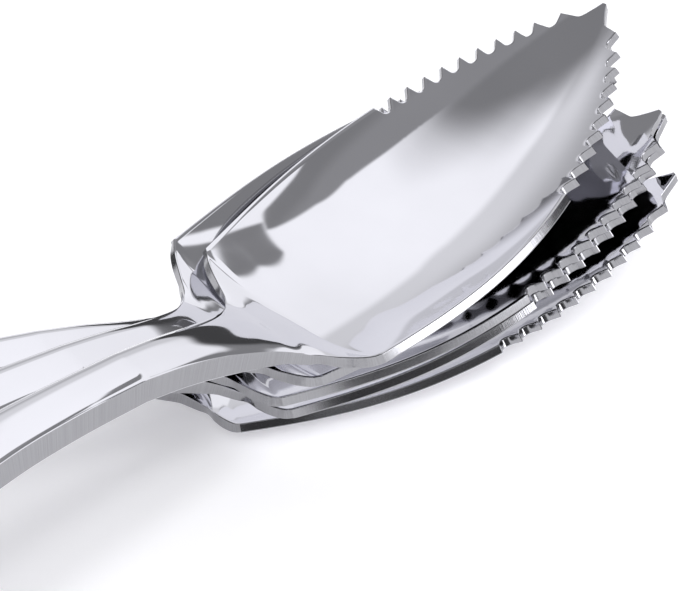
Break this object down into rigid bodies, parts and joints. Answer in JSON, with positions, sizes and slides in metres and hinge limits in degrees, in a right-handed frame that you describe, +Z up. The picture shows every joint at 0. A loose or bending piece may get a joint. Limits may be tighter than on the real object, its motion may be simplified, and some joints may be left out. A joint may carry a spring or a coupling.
{
  "type": "nest of grapefruit spoons",
  "caption": "Grapefruit spoons nested in a fanned pile, each with a pointed bowl, sawn teeth round its front and a narrow arched handle.",
  "frame": {"origin": "on the table, below the lowest point of the bottom spoon's bowl", "axes": "+Z up from the table, +X from the bottom spoon's handle towards its tip, +Y towards the side that the handles fan away from"},
  "size_m": [0.1683, 0.0893, 0.0299],
  "materials": {
    "polished_steel": "mirror polished stainless steel, with a finely ground rim and edges"
  },
  "bodies": {
    "bottom_spoon": {"bottom_spoon": "polished_steel"},
    "second_spoon": {"second_spoon": "polished_steel"},
    "middle_spoon": {"middle_spoon": "polished_steel"},
    "fourth_spoon": {"fourth_spoon": "polished_steel"},
    "top_spoon": {"top_spoon": "polished_steel"}
  },
  "joints": [
    {"name": "second_spoon_lift", "type": "slide", "parent": "bottom_spoon", "child": "second_spoon", "axis": [0, 0, 1], "range_m": [0, 0.06]},
    {"name": "middle_spoon_lift", "type": "slide", "parent": "second_spoon", "child": "middle_spoon", "axis": [0, 0, 1], "range_m": [0, 0.06]},
    {"name": "fourth_spoon_lift", "type": "slide", "parent": "middle_spoon", "child": "fourth_spoon", "axis": [0, 0, 1], "range_m": [0, 0.06]},
    {"name": "top_spoon_lift", "type": "slide", "parent": "fourth_spoon", "child": "top_spoon", "axis": [0, 0, 1], "range_m": [0, 0.06]}
  ]
}
